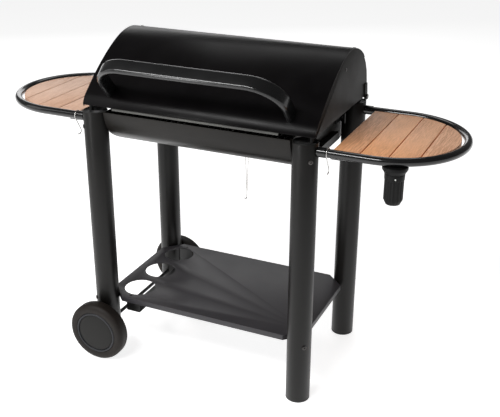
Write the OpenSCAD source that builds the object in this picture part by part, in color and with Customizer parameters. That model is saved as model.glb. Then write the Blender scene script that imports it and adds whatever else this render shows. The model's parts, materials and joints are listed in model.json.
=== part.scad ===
// Gas barbecue grill: four tube legs, a trough firebox with a hinged lid,
// two round-ended side tables, a bottle shelf and a pair of wheels.
// Origin on the floor midway between the legs. X right, Y back, Z up.

/* [Cart] */
// distance from the middle to the leg axes, sideways
leg_x = 345; // [340:1:360]
// distance from the middle to the leg axes, front to back
leg_y = 217.6; // [212:0.1:224]
// outer radius of a leg tube
leg_r = 37.8; // [32:0.1:39]
// wall of a leg tube
leg_wall = 2; // [1:0.1:4]
// height of the leg tops
leg_top = 850; // [840:1:856]
// lower end of the two legs that carry the wheels
short_leg_end = 52; // [40:1:80]
// height of the bottom shelf
shelf_top = 209; // [190:1:300]
// depth of the flange round the shelf
shelf_flange = 18; // [10:1:40]
// radius of a bottle hole
bottle_r = 52; // [30:1:60]
// spacing of the bottle holes
bottle_pitch = 138; // [110:1:160]

/* [Wheels] */
// outer radius of a wheel
wheel_r = 101; // [95:1:130]
// width of a tyre
tyre_w = 50; // [40:1:60]
// radius of the axle rod
axle_r = 6; // [4:0.5:10]
// radius of the smooth disc inside a tyre
disc_r = 65; // [40:1:75]

/* [Firebox] */
// half the length of the firebox
box_x = 303; // [285:1:305]
// height of the front edge of the firebox
box_top = 851; // [840:1:860]
// height of the flat bottom of the firebox
box_floor = 720; // [700:1:730]
// sheet thickness
sheet = 2; // [1:0.1:4]

/* [Lid] */
// half the length of the lid
lid_x = 379; // [350:1:400]
// distance of the hinge axis behind the middle
hinge_y = 222; // [200:1:240]
// height of the hinge axis
hinge_z = 866; // [855:1:880]
// width of the flat oval handle tube
handle_w = 47; // [30:1:50]
// thickness of the flat oval handle tube
handle_t = 18; // [12:1:24]
// distance of the handle bar from the face of the lid
handle_out = 144; // [100:1:200]
// half the length of the handle between its feet
handle_x = 294; // [200:1:340]
// bend radius of the handle
handle_bend = 98; // [40:1:98]

/* [Side tables] */
// height of the table tube axis
tube_z = 824; // [780:1:840]
// radius of the table tube
tube_r = 12.5; // [8:0.5:20]
// centre of the half-round end, from the middle
round_x = 531; // [510:1:560]
// inner edge of the wood, from the middle
wood_x = 420; // [410:1:440]
// thickness of a slat
wood_t = 18; // [10:1:30]
// width of a slat
slat_w = 79; // [60:1:95]
// gap between two slats
slat_gap = 3; // [1:0.5:8]

/* [Gas control] */
// sideways position of the control
control_x = 597; // [550:1:650]
// front to back position of the control
control_y = -196; // [-210:1:-150]
// radius of the twist grip
grip_r = 28.5; // [20:0.5:35]
// lower end of the twist grip
grip_end = 700; // [660:1:740]

/* [Hidden] */
$fn = 72;

black = [0.10, 0.10, 0.10];
grey = [0.27, 0.26, 0.27];
steel = [0.72, 0.72, 0.72];
wood = [0.72, 0.42, 0.24];
leg_in = leg_r - leg_wall;
slip = 0.1;
run = 0.05;
screw_z_low = 200;
screw_z_high = 800;
screw_r = 3;
screw_hole_r = 3.2;
corner_sum = leg_x + leg_y - leg_r * sqrt(2);
shelf_x = leg_x + 5;
shelf_y = leg_y + 1.4;
bottle_x = -267;
strap_w = 50;
strap_y = 190;
strap_z = 142;
wheel_z = wheel_r;
axle_hole_r = axle_r + 0.2;
wheel_in = leg_y + leg_r + 2.4;
wheel_out = wheel_in + tyre_w;
axle_end = wheel_out - 5.5;
plate_t = 2.5;
box_back = 235;
wood_top = 830;
wood_low = wood_top - wood_t;
wood_r = 199;
strap_t = 3;
rail_t = 6;
table_hole_r = tube_r + 0.1;
handle_wall = 2;
tube_in = leg_x + leg_r - 12;
foot_y = -199.2;
foot_z = 910.3;
face_tilt = atan2(32, 36);
pipe_r = 5;
pipe_y = -165;
pipe_z = 797;
hook_r = 1.6;
hook_x = 412;
hanger_x = 68;
spout_x = 94;
tab_x = leg_x + 13;
hang_tilt = 30.4;
sleeve_end = 407;
hanger_z = 712;
hanger_low = 546;
burner_z = 755;
screw_first = 40;
screw_pitch = 73;
lid_drop = 2;
boss_t = 3.05;
boss_r = 14;
// control points of the rear curve of the lid, as Y and Z
rear = [[92, 1050 - lid_drop], [130, 1043 - lid_drop], [172, 1024 - lid_drop], [190, 1003 - lid_drop]];
// rear and lower corners of an end wall of the lid, as Y and Z
wall_rear = [[206, 978], [221, 951], [228.5, 917], [233, 883], [233, 869], [-229, 869]];

// one cubic curve from p to s, as n points
function curve(p, q, r, s, n) =
    [for (i = [0 : n - 1]) let (t = i / n, k = 1 - t)
        k * k * k * p + 3 * k * k * t * q + 3 * k * t * t * r + t * t * t * s];

// outline of the lid skin from the lower front edge over the top to the rear lip
function lid_outline(d) = concat(
    curve([-232 + d, 866], [-230 + d, 877 - d * 0.4], [-222 + d * 0.8, 890 - d * 0.6],
          [-212.5 + d * 0.7, 898.5 - d * 0.7], 6),
    curve([-176.5 + d * 0.66, 930.5 - d * 0.75], [-130 + d * 0.6, 971 - d * 0.8],
          [-62 + d * 0.5, 1020 - lid_drop - d * 0.9], [-2 + d * 0.3, 1042 - lid_drop - d], 10),
    curve([-2 + d * 0.3, 1042 - lid_drop - d], [32 + d * 0.1, 1053 - lid_drop - d],
          [64, 1057 - lid_drop - d], rear[0] + [-d * 0.2, -d], 8),
    curve(rear[0] + [-d * 0.2, -d], rear[1] + [-d * 0.4, -d * 0.9],
          rear[2] + [-d * 0.6, -d * 0.8], rear[3] + [-d * 0.76, -d * 0.65], 8),
    [rear[3] + [-d * 0.76, -d * 0.65]]);

// point on the rear curve of the lid, and its slope in degrees, at t from 0 to 1
function rear_point(t) = let (k = 1 - t)
    k * k * k * rear[0] + 3 * k * k * t * rear[1] + 3 * k * t * t * rear[2] + t * t * t * rear[3];
function rear_slope(t) = let (d = rear_point(t + 0.01) - rear_point(t - 0.01)) atan2(d[1], d[0]);

// outline of the firebox from the front edge under the floor to the rear edge
function box_outline(d) = concat(
    curve([-235 + d, box_top], [-232 + d, 822], [-224 + d, 806], [-211 + d, 786 + d * 0.3], 8),
    curve([-211 + d, 786 + d * 0.3], [-196 + d * 0.8, 765 + d * 0.7],
          [-140 + d * 0.3, 738 + d], [-75, box_floor + d], 10),
    [[-75, box_floor + d], [195, box_floor + d]],
    curve([195, box_floor + d], [222 - d * 0.3, box_floor + d], [box_back - d, 735 + d * 0.3],
          [box_back - d, 762], 8),
    [[box_back - d, 762], [box_back - d, box_top]]);

function flip(list) = [for (i = [len(list) - 1 : -1 : 0]) list[i]];

// draws its children with a profile given as Y and Z, extruded along X
module along_x(from, to) {
    translate([from, 0, 0])
        rotate([90, 0, 90])
            linear_extrude(to - from)
                children();
}

module rod_x(x0, x1, y, z, r) {
    translate([x0, y, z])
        rotate([0, 90, 0])
            cylinder(h = x1 - x0, r = r);
}

module rod_y(x, y0, y1, z, r) {
    translate([x, y0, z])
        rotate([-90, 0, 0])
            cylinder(h = y1 - y0, r = r);
}

// places its children at a leg with local X pointing outward along the diagonal
module at_leg(sx, sy) {
    translate([sx * leg_x, sy * leg_y, 0])
        rotate([0, 0, atan2(sy, sx)])
            children();
}

module each_leg() {
    for (sx = [-1, 1]) {
        for (sy = [-1, 1]) {
            at_leg(sx, sy)
                children();
        }
    }
}

// a pan head screw through a leg, head outside
module leg_screw(z, inner) {
    translate([-inner, 0, z])
        rotate([0, 90, 0])
            cylinder(h = inner + leg_r, r = screw_r, $fn = 24);
    translate([leg_r + 0.4, 0, z])
        rotate([0, 90, 0])
            cylinder(h = 3.4, r1 = 7, r2 = 5);
    translate([-inner - 4, 0, z])
        rotate([0, 90, 0])
            cylinder(h = 4, r = 5.5, $fn = 6);
}

// a leg tube with its screw holes
module leg(sx, sy) {
    low = sx > 0 ? 6 : short_leg_end;
    color(black)
        difference() {
            translate([sx * leg_x, sy * leg_y, low])
                cylinder(h = leg_top - low, r = leg_r);
            translate([sx * leg_x, sy * leg_y, low - 1])
                cylinder(h = leg_top - low + 2, r = leg_in);
            at_leg(sx, sy) {
                for (z = [screw_z_low, screw_z_high]) {
                    translate([-leg_r - 5, 0, z])
                        rotate([0, 90, 0])
                            cylinder(h = 2 * leg_r + 10, r = screw_hole_r, $fn = 24);
                }
            }
            rod_x(sx > 0 ? leg_x : -leg_x - leg_r - 2, sx > 0 ? leg_x + leg_r + 2 : -leg_x,
                  sy * leg_y, tube_z, table_hole_r);
            if (sx < 0) {
                rod_y(-leg_x, sy * leg_y - leg_r - 2, sy * leg_y + leg_r + 2, wheel_z, axle_hole_r);
            }
        }
}

module leg_front_left() {
    leg(-1, -1);
}

module leg_front_right() {
    leg(1, -1);
}

module leg_rear_left() {
    leg(-1, 1);
}

module leg_rear_right() {
    leg(1, 1);
}

// recessed plastic cups in the leg tops
module leg_caps() {
    color(black)
        for (sx = [-1, 1]) {
            for (sy = [-1, 1]) {
                difference() {
                    translate([sx * leg_x, sy * leg_y, 839])
                        cylinder(h = 8, r = leg_in - slip);
                    translate([sx * leg_x, sy * leg_y, 838])
                        cylinder(h = 6, r = leg_in - 3);
                    if (sy > 0) {
                        translate([sx * tab_x - 3.2, hinge_y - 12.4, 830])
                            cube([6.4, 24.8, 30]);
                    }
                }
            }
        }
}

// plugs in the lower leg ends; the right pair stands on the floor
module foot_plugs() {
    color(black)
        for (sx = [-1, 1]) {
            for (sy = [-1, 1]) {
                low = sx > 0 ? 0 : short_leg_end - 4;
                top = sx > 0 ? 6 : short_leg_end;
                translate([sx * leg_x, sy * leg_y, low]) {
                    cylinder(h = top - low, r = leg_r);
                    cylinder(h = top - low + 20, r = leg_in - slip);
                }
            }
        }
}

// plan of the shelf, inset by d
module shelf_plan(d) {
    c = shelf_x + shelf_y - corner_sum;
    x = shelf_x - d;
    y = shelf_y - d;
    k = c - d * 0.59;
    polygon([[x - k, -y], [x, -y + k], [x, y - k], [x - k, y],
             [-x + k, y], [-x, y - k], [-x, -y + k], [-x + k, -y]]);
}

module shelf() {
    color(grey)
        difference() {
            translate([0, 0, shelf_top - shelf_flange])
                linear_extrude(shelf_flange)
                    shelf_plan(0);
            translate([0, 0, shelf_top - shelf_flange - 1])
                linear_extrude(shelf_flange + 1 - sheet)
                    shelf_plan(sheet);
            for (i = [-1, 0, 1]) {
                translate([bottle_x, i * bottle_pitch, shelf_top - 10])
                    cylinder(h = 20, r = bottle_r);
            }
            each_leg()
                translate([-leg_r - 12, 0, screw_z_low])
                    rotate([0, 90, 0])
                        cylinder(h = 24, r = screw_hole_r, $fn = 24);
            for (s = [-1, 1]) {
                translate([bottle_x, s * (strap_y + 9), shelf_top - 10])
                    cylinder(h = 20, r = 2.6, $fn = 24);
            }
        }
}

module shelf_screws() {
    color(steel)
        each_leg()
            leg_screw(screw_z_low, leg_r + 2.2);
}

// strap under the bottle holes, turned up at both ends and flanged under the shelf
module bottle_strap() {
    color(black)
        difference() {
            translate([bottle_x - strap_w / 2, -strap_y - 18, strap_z])
                cube([strap_w, 2 * strap_y + 36, shelf_top - sheet - strap_z]);
            translate([bottle_x - strap_w, -strap_y + 2, strap_z + 2])
                cube([2 * strap_w, 2 * strap_y - 4, 100]);
            for (s = [-1, 1]) {
                translate([bottle_x - strap_w, s * (strap_y + 10) - 10, strap_z - 1])
                    cube([2 * strap_w, 20, shelf_top - sheet - strap_z - 1]);
                translate([bottle_x, s * (strap_y + 9), shelf_top - 10])
                    cylinder(h = 20, r = 2.6, $fn = 24);
            }
        }
}

module strap_rivets() {
    color(steel)
        for (s = [-1, 1]) {
            translate([bottle_x, s * (strap_y + 9), shelf_top - sheet - 4]) {
                cylinder(h = 8, r = 2.5, $fn = 24);
                cylinder(h = 2, r = 4.5, $fn = 32);
            }
            translate([bottle_x, s * (strap_y + 9), shelf_top])
                cylinder(h = 1.6, r1 = 5, r2 = 3, $fn = 32);
        }
}

module axle() {
    color(black)
        rod_y(-leg_x, -axle_end, axle_end, wheel_z, axle_r);
}

module firebox_trough() {
    color(grey)
        difference() {
            along_x(-box_x, box_x)
                polygon(concat(box_outline(0), flip(box_outline(sheet))));
            translate([spout_x, 0, box_floor - 5])
                cylinder(h = 10, r = 12.2);
            for (s = [-1, 1]) {
                translate([hanger_x + s * 6, 0, box_floor - 5])
                    cylinder(h = 10, r = 2.2, $fn = 24);
            }
        }
}

// a flat end plate of the firebox with the holes for the burners
module box_end(s) {
    x0 = s > 0 ? box_x : -box_x - plate_t;
    color(grey)
        difference() {
            along_x(x0, x0 + plate_t)
                polygon(box_outline(0));
            for (y = [-70, 110]) {
                rod_x(x0 - 5, x0 + plate_t + 5, y, burner_z, s > 0 ? 7.3 : 5.3);
            }
        }
}

module end_plate_left() {
    box_end(-1);
}

module end_plate_right() {
    box_end(1);
}

// angle plates that carry the firebox on the legs
module firebox_brackets() {
    x0 = box_x + plate_t;
    color(black)
        difference() {
            for (sx = [-1, 1]) {
                for (sy = [-1, 1]) {
                    scale([sx, sy, 1])
                        translate([0, 0, screw_z_high - 16])
                            linear_extrude(32)
                                polygon([[x0, 150], [x0 + 3, 150], [x0 + 3, corner_sum - x0 - 8.4],
                                         [x0 + 24, corner_sum - x0 - 29.4],
                                         [x0 + 26.3, corner_sum - x0 - 27.1],
                                         [x0, corner_sum - x0 - 0.8]]);
                }
            }
            each_leg()
                translate([-leg_r - 12, 0, screw_z_high])
                    rotate([0, 90, 0])
                        cylinder(h = 24, r = screw_hole_r, $fn = 24);
        }
}

module bracket_screws() {
    color(steel)
        each_leg()
            leg_screw(screw_z_high, leg_r + 4.4);
}

// two folded ledges the grates rest on
module grate_ledges() {
    color(grey) {
        along_x(-box_x + 1, box_x - 1)
            polygon([[-221.5, 826], [-196, 826], [-196, 824], [-219.5, 824], [-219.5, 812], [-221.5, 812]]);
        along_x(-box_x + 1, box_x - 1)
            polygon([[box_back - sheet, 826], [206, 826], [206, 824], [box_back - 4, 824],
                     [box_back - 4, 812], [box_back - sheet, 812]]);
    }
}

// one cooking grate: two cross bars and a row of round bars
module grate(x0, x1) {
    n = 15;
    color(black) {
        for (i = [0 : n - 1]) {
            rod_y(x0 + 6 + i * (x1 - x0 - 12) / (n - 1), -214, 228, 836, 3.2);
        }
        for (y = [-205, -70, 80, 218]) {
            rod_x(x0, x1, y, 830, 4);
        }
    }
}

module grate_left() {
    grate(-box_x + 4, -3);
}

module grate_right() {
    grate(3, box_x - 4);
}

// roof-shaped covers over the burners
module flame_tamers() {
    color(steel)
        for (y = [-70, 110]) {
            along_x(-box_x + 0.5, box_x - 0.5)
                polygon([[y - 40, 772], [y, 796], [y + 40, 772], [y + 38, 771], [y, 793.6], [y - 38, 771]]);
        }
}

module burner(y) {
    color(steel)
        difference() {
            union() {
                rod_x(-box_x + 23, box_x - 7, y, burner_z, 13);
                rod_x(box_x - 8, box_x + 15, y, burner_z, 7);
                rod_x(-box_x - 4, -box_x + 25, y, burner_z, 5);
            }
            rod_x(-box_x + 25, box_x - 9, y, burner_z, 11.5);
            rod_x(box_x - 13, box_x + 17, y, burner_z, 5.5);
            for (i = [0 : 19]) {
                rod_y(-260 + i * 27, y - 16, y + 16, burner_z, 1.5, $fn = 16);
            }
        }
}

module burner_front() {
    burner(-70);
}

module burner_rear() {
    burner(110);
}

// box on the right end plate that feeds both burners
module gas_manifold() {
    x0 = box_x + plate_t;
    color(black)
        difference() {
            translate([x0, -95, burner_z - 10])
                cube([20, 230, 22]);
            for (y = [-70, 110]) {
                rod_x(x0 - 1, x0 + 14, y, burner_z, 7.3);
            }
            rod_y(x0 + 10, -100, -82, burner_z, pipe_r + 0.1);
        }
}

// rigid pipe from the control, behind the table tube, to the manifold
module gas_pipe() {
    x0 = box_x + plate_t + 10;
    b = 18;
    color(steel) {
        rod_y(x0, pipe_y + b, -86, burner_z, pipe_r);
        translate([x0, pipe_y + b, burner_z + b])
            rotate([90, 0, 90])
                rotate([0, 0, 180])
                    rotate_extrude(angle = 90)
                        translate([b, 0])
                            circle(pipe_r);
        translate([x0, pipe_y, burner_z + b])
            cylinder(h = pipe_z - b - burner_z - b, r = pipe_r);
        translate([x0 + b, pipe_y, pipe_z - b])
            rotate([90, 0, 0])
                rotate([0, 0, 90])
                    rotate_extrude(angle = 90)
                        translate([b, 0])
                            circle(pipe_r);
        rod_x(x0 + b, control_x - 30, pipe_y, pipe_z, pipe_r);
    }
}

// valve body on the front tube with a hose nozzle facing back
module valve_housing() {
    color(black)
        difference() {
            union() {
                translate([control_x, control_y, 790])
                    cylinder(h = 12, r1 = 30, r2 = 36);
                translate([control_x, control_y, 802])
                    cylinder(h = 9, r = 36);
                translate([control_x - 22, control_y, 790])
                    cube([44, 50, 21]);
                translate([control_x, control_y, 735])
                    cylinder(h = 60, r = 7);
                translate([control_x, control_y + 50, 800])
                    rotate([-90, 0, 0])
                        cylinder(h = 24, r = 5);
                translate([control_x, control_y + 50, 800])
                    rotate([-90, 0, 0])
                        cylinder(h = 5, r = 9, $fn = 6);
            }
            translate([control_x - 40, pipe_y, pipe_z])
                rotate([0, 90, 0])
                    cylinder(h = 30, r = pipe_r + 0.1);
            translate([control_x, control_y + 30, 800])
                rotate([-90, 0, 0])
                    cylinder(h = 50, r = 3);
        }
}

// outline of the grip: shallow flutes round a circle
function flutes(r, n) =
    [for (i = [0 : n * 6 - 1]) let (a = i * 60 / n, q = r - 1.1 * (1 - cos(n * a)))
        [q * cos(a), q * sin(a)]];

// fluted grip that turns on the valve spindle
module twist_grip() {
    n = 18;
    color(black)
        translate([control_x, control_y, 0])
            difference() {
                union() {
                    translate([0, 0, grip_end])
                        cylinder(h = 9, r1 = grip_r - 8, r2 = grip_r - 4);
                    translate([0, 0, grip_end + 8])
                        linear_extrude(66)
                            polygon(flutes(grip_r - 1.5, n));
                    translate([0, 0, grip_end + 73])
                        cylinder(h = 16.4, r = grip_r);
                }
                translate([0, 0, 725])
                    cylinder(h = 80, r = 7 + run);
            }
}

// short funnel under the fat drain
module drain_spout() {
    color(grey)
        difference() {
            union() {
                translate([spout_x, 0, box_floor - 14])
                    cylinder(h = 17, r = 12);
                translate([spout_x, 0, box_floor + sheet])
                    cylinder(h = 1.5, r = 17);
            }
            translate([spout_x, 0, box_floor - 20])
                cylinder(h = 40, r = 10);
        }
}

// lug with a cross pin under the firebox
module hanger_lug() {
    color(steel) {
        translate([hanger_x - 12, -9, box_floor - 2])
            cube([24, 18, 2]);
        for (s = [-1, 1]) {
            translate([hanger_x + s * 10.5 - 1.5, -6, hanger_z - 4])
                cube([3, 12, box_floor - hanger_z + 3]);
            translate([hanger_x + s * 6, 0, box_floor - 2])
                cylinder(h = 6, r = 2, $fn = 24);
        }
        rod_x(hanger_x - 12, hanger_x + 12, 0, hanger_z, 1.5);
    }
}

// wire that hangs from the lug and carries the fat cup
module drip_hanger() {
    w = 1.5;
    x = hanger_x;
    color(steel) {
        for (s = [-1, 1]) {
            translate([x + s * 5.5, 0, hanger_z])
                rotate([0, 90, 0])
                    difference() {
                        cylinder(h = 2.6, r = 4.2, center = true);
                        cylinder(h = 5, r = 1.6, center = true);
                    }
            strand([x + s * 5.5, 0, hanger_z - 3.8], [x + s * 2.2, 0, hanger_low + 28], w);
        }
        strand([x - 3.4, 0, hanger_low + 28], [x + 3.4, 0, hanger_low + 28], w + 1.2);
        strand([x, 0, hanger_low + 29], [x, 0, hanger_low + 8], w);
        translate([x, -8, hanger_low + 8])
            rotate([90, 180, 90])
                rotate_extrude(angle = 180)
                    translate([8, 0])
                        circle(w, $fn = 24);
    }
}

// a straight round bar between two points
module strand(a, b, r) {
    d = b - a;
    h = norm(d);
    translate(a)
        rotate([0, acos(d[2] / h), atan2(d[1], d[0])])
            cylinder(h = h, r = r, $fn = 24);
}

// bent tube that frames a side table
module table_tube(r) {
    for (s = [-1, 1]) {
        rod_x(tube_in, round_x, s * leg_y, tube_z, r);
    }
    translate([round_x, 0, tube_z])
        rotate([0, 0, -90])
            rotate_extrude(angle = 180, $fn = 144)
                translate([leg_y, 0])
                    circle(r);
}

module hollow_table_tube(s) {
    color(black)
        scale([s, 1, 1])
            difference() {
                union() {
                    table_tube(tube_r);
                    for (t = [-1, 1]) {
                        rod_x(leg_x + leg_r + 1, sleeve_end, t * leg_y, tube_z, tube_r + 2);
                    }
                }
                table_tube(tube_r - 2);
            }
}

module table_tube_left() {
    hollow_table_tube(-1);
}

module table_tube_right() {
    hollow_table_tube(1);
}

// two cross rails and two long strips under the slats
module table_rails(s) {
    color(black)
        scale([s, 1, 1])
            difference() {
                union() {
                    translate([wood_x + 4, -leg_y + tube_r, wood_low - strap_t - rail_t])
                        cube([26, 2 * leg_y - 2 * tube_r, rail_t]);
                    for (t = [-1, 1]) {
                        scale([1, t, 1]) {
                            translate([wood_x - 5, -leg_y + tube_r, wood_low - strap_t - rail_t])
                                cube([35, 3, 24]);
                            translate([wood_x - 5, -leg_y + tube_r, wood_top - 6])
                                cube([4, 17, 3]);
                            translate([wood_x + 4, 96, wood_low - strap_t])
                                cube([262, 28, strap_t]);
                        }
                    }
                    translate([640, -124, wood_low - strap_t - rail_t])
                        cube([24, 248, rail_t]);
                }
                slat_screw_holes(3.2);
            }
}

module table_rails_left() {
    table_rails(-1);
}

module table_rails_right() {
    table_rails(1);
}

// holes through the strips and into the slats
module slat_screw_holes(r) {
    for (i = [0 : 3]) {
        for (y = [-110, 110]) {
            translate([wood_x + screw_first + screw_pitch * i, y, wood_low - 16])
                cylinder(h = 27, r = r, $fn = 24);
        }
    }
}

// plan of the whole table top
module wood_plan() {
    translate([wood_x, -wood_r])
        square([round_x - wood_x, 2 * wood_r]);
    translate([round_x, 0])
        circle(wood_r, $fn = 144);
}

// slat number i of a table, counted outward
module slat(s, i) {
    x0 = wood_x + slat_w * i + (i > 0 ? slat_gap / 2 - 2 : 0);
    x1 = i < 3 ? wood_x + slat_w * (i + 1) - slat_gap / 2 - 2 : round_x + wood_r + 1;
    color(wood)
        scale([s, 1, 1])
            difference() {
                translate([0, 0, wood_low])
                    linear_extrude(wood_t)
                        intersection() {
                            wood_plan();
                            translate([x0, -wood_r - 5])
                                square([x1 - x0, 2 * wood_r + 10]);
                        }
                slat_screw_holes(1.9);
            }
}

module slat_left_1() {
    slat(-1, 0);
}

module slat_left_2() {
    slat(-1, 1);
}

module slat_left_3() {
    slat(-1, 2);
}

module slat_left_4() {
    slat(-1, 3);
}

module slat_right_1() {
    slat(1, 0);
}

module slat_right_2() {
    slat(1, 1);
}

module slat_right_3() {
    slat(1, 2);
}

module slat_right_4() {
    slat(1, 3);
}

// countersunk screws from below into every slat
module slat_screws() {
    color(steel)
        for (s = [-1, 1]) {
            for (i = [0 : 3]) {
                for (y = [-110, 110]) {
                    translate([s * (wood_x + screw_first + screw_pitch * i), y, wood_low - strap_t - 2.2]) {
                        cylinder(h = 2.2, r1 = 3.5, r2 = 5, $fn = 32);
                        cylinder(h = 15, r = 1.8, $fn = 24);
                    }
                }
            }
        }
}

// hook hung over the front tube: a wide arc above, a small hook below
module s_hook(x) {
    big = tube_r + hook_r + 0.3;
    small = 10;
    drop = 47;
    color(steel)
        translate([x, -leg_y, tube_z])
            rotate([hang_tilt, 0, 0]) {
                rotate([0, 90, 0])
                    rotate([0, 0, 75])
                        rotate_extrude(angle = 195, $fn = 48)
                            translate([big, 0])
                                circle(hook_r, $fn = 24);
                for (z = [0, -drop]) {
                    translate([0, -big, z])
                        sphere(hook_r * 1.2, $fn = 24);
                }
                translate([0, -big, -drop])
                    cylinder(h = drop, r = hook_r, $fn = 24);
                translate([0, -big - small, -drop])
                    rotate([0, 90, 0])
                        rotate([0, 0, -75])
                            rotate_extrude(angle = 165, $fn = 48)
                                translate([small, 0])
                                    circle(hook_r, $fn = 24);
            }
}

module hook_left() {
    s_hook(-hook_x);
}

module hook_right() {
    s_hook(hook_x);
}

// tabs on welded discs in the rear leg tops, which carry the hinge bolts
module hinge_brackets() {
    color(black)
        for (s = [-1, 1]) {
            difference() {
                union() {
                    translate([s * tab_x - 3, hinge_y - 12, 806])
                        cube([6, 24, hinge_z - 806]);
                    rod_x(s * tab_x - 3, s * tab_x + 3, hinge_y, hinge_z, 12);
                    translate([s * leg_x, leg_y, 806])
                        cylinder(h = 4, r = leg_in - slip);
                }
                rod_x(s * tab_x - 20, s * tab_x + 20, hinge_y, hinge_z, 4.1, $fn = 48);
            }
        }
}

module hinge_bolts() {
    color(steel)
        for (s = [-1, 1]) {
            scale([s, 1, 1]) {
                rod_x(leg_x + 4, lid_x + 4, hinge_y, hinge_z, 4);
                rod_x(lid_x + 2.9, lid_x + 8, hinge_y, hinge_z, 8);
                rod_x(leg_x + 3, leg_x + 9.8, hinge_y, hinge_z, 7, $fn = 6);
            }
        }
}

// outer skin of the lid, folded from one sheet
module lid_skin() {
    color(black)
        difference() {
            along_x(-lid_x, lid_x)
                polygon(concat(lid_outline(0), flip(lid_outline(sheet))));
            for (s = [-1, 1]) {
                foot_axis(s)
                    cylinder(h = 20, r = 3.2, center = true, $fn = 24);
            }
        }
}

// local Z along the handle's foot, origin on the face of the lid
module foot_axis(s) {
    translate([s * handle_x, foot_y, foot_z])
        rotate([face_tilt, 0, 0])
            children();
}

// an end wall of the lid with a thick plate round the bore for the hinge bolt
module lid_end(s) {
    x0 = s > 0 ? lid_x - 3 : -lid_x + 0.5;
    boss_x = s > 0 ? x0 : x0 - boss_t;
    color(black)
        difference() {
            union() {
                along_x(x0, x0 + plate_t)
                    polygon(concat(lid_outline(sheet + 0.05), wall_rear));
                rod_x(boss_x, boss_x + plate_t + boss_t, hinge_y, hinge_z, boss_r);
                along_x(boss_x, boss_x + plate_t + boss_t)
                    polygon([[hinge_y - boss_r, hinge_z], [hinge_y + boss_r, hinge_z],
                             [hinge_y + 6, 910], [hinge_y - 22, 910]]);
            }
            rod_x(x0 - 6, x0 + 12, hinge_y, hinge_z, 4 + run, $fn = 72);
        }
}

module lid_end_left() {
    lid_end(-1);
}

module lid_end_right() {
    lid_end(1);
}

// rear wall of the lid, set below the lip to leave a vent
module lid_back() {
    color(black)
        along_x(-lid_x + 3.05, lid_x - 3.05)
            polygon([[190.5, 993], [204, 977], [219, 950], [226.5, 916], [231, 884], [229, 883.7],
                     [224.6, 915.6], [217.2, 949.2], [202.3, 976], [189, 991.7]]);
}

module lid_strip() {
    color(steel)
        translate([-271, -239, 861.5])
            cube([542, 6.5, 6]);
}

// rubber pads that meet the front leg caps
module lid_bumpers() {
    color(black)
        for (s = [-1, 1]) {
            translate([s * 362, -213, 847.3])
                cylinder(h = 21.6, r1 = 6, r2 = 8);
            translate([s * 366 - 10, -223, 868.9])
                cube([20, 20, 6]);
        }
}

module lid_screws() {
    color(steel)
        for (s = [-1, 1]) {
            for (t = [0.22, 0.42]) {
                translate([s * (lid_x - 12), rear_point(t)[0], rear_point(t)[1]])
                    rotate([rear_slope(t), 0, 0])
                        translate([0, 0, 0.15])
                            cylinder(h = 2.8, r1 = 5.5, r2 = 3.5, $fn = 32);
            }
            rod_x(s > 0 ? lid_x - 0.5 : -lid_x - 2.5, s > 0 ? lid_x + 2.5 : -lid_x + 0.5, 11, 1001, 5);
        }
}

// flat oval section, its thickness along X and its width along Y
module oval(w, t) {
    square([t, w - t], center = true);
    for (s = [-1, 1]) {
        translate([0, s * (w - t) / 2])
            circle(t / 2);
    }
}

// the bent path of the handle tube, its section smaller by d on every side
module handle_path(d, foot) {
    w = handle_w - 2 * d;
    t = handle_t - 2 * d;
    half = handle_x - handle_bend;
    for (s = [-1, 1]) {
        translate([s * handle_x, 0, foot])
            linear_extrude(handle_out - handle_bend - foot)
                oval(w, t);
        translate([s * half, 0, handle_out - handle_bend])
            rotate([90, 0, 0])
                rotate([0, 0, s > 0 ? 0 : 90])
                    rotate_extrude(angle = 90)
                        translate([handle_bend, 0])
                            oval(w, t);
    }
    translate([-half, 0, handle_out])
        rotate([0, 90, 0])
            linear_extrude(2 * half)
                oval(w, t);
}

module handle() {
    color(black)
        translate([0, foot_y, foot_z])
            rotate([face_tilt, 0, 0])
                difference() {
                    handle_path(0, 0);
                    handle_path(handle_wall, -1);
                }
}

// plugs in the handle's feet with the screws that hold it
module handle_plugs() {
    color(steel)
        for (s = [-1, 1]) {
            foot_axis(s) {
                linear_extrude(16)
                    oval(handle_w - 2 * handle_wall - 0.2, handle_t - 2 * handle_wall - 0.2);
                translate([0, 0, -2.7])
                    cylinder(h = 4, r = 3, $fn = 24);
                translate([0, 0, -6.6])
                    cylinder(h = 4, r = 6.5);
            }
        }
}

// wire rack hung between the lid's end walls
module warming_rack() {
    x = lid_x - 3.1;
    color(steel) {
        for (y = [66, 172]) {
            rod_x(-x, x, y, 925, 3);
        }
        for (i = [-18 : 18]) {
            rod_y(i * 20, 66, 172, 925, 1.8, $fn = 20);
        }
    }
}

// tyre ring with a rounded tread; s is -1 for the front wheel
module tyre(s) {
    h = tyre_w / 2;
    q = 16;
    color(black)
        translate([-leg_x, s * (wheel_in + h), wheel_z])
            rotate([90, 0, 0])
                rotate_extrude($fn = 144)
                    difference() {
                        union() {
                            translate([disc_r, -h])
                                square([wheel_r - disc_r - q, tyre_w]);
                            translate([wheel_r - q - 1, -h + q])
                                square([q + 1, tyre_w - 2 * q]);
                            for (k = [-1, 1]) {
                                translate([wheel_r - q, k * (h - q)])
                                    circle(q, $fn = 48);
                            }
                        }
                        for (k = [-1, 1]) {
                            translate([disc_r + 8, k * (h + 1)])
                                circle(2.6, $fn = 24);
                        }
                    }
}

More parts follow.
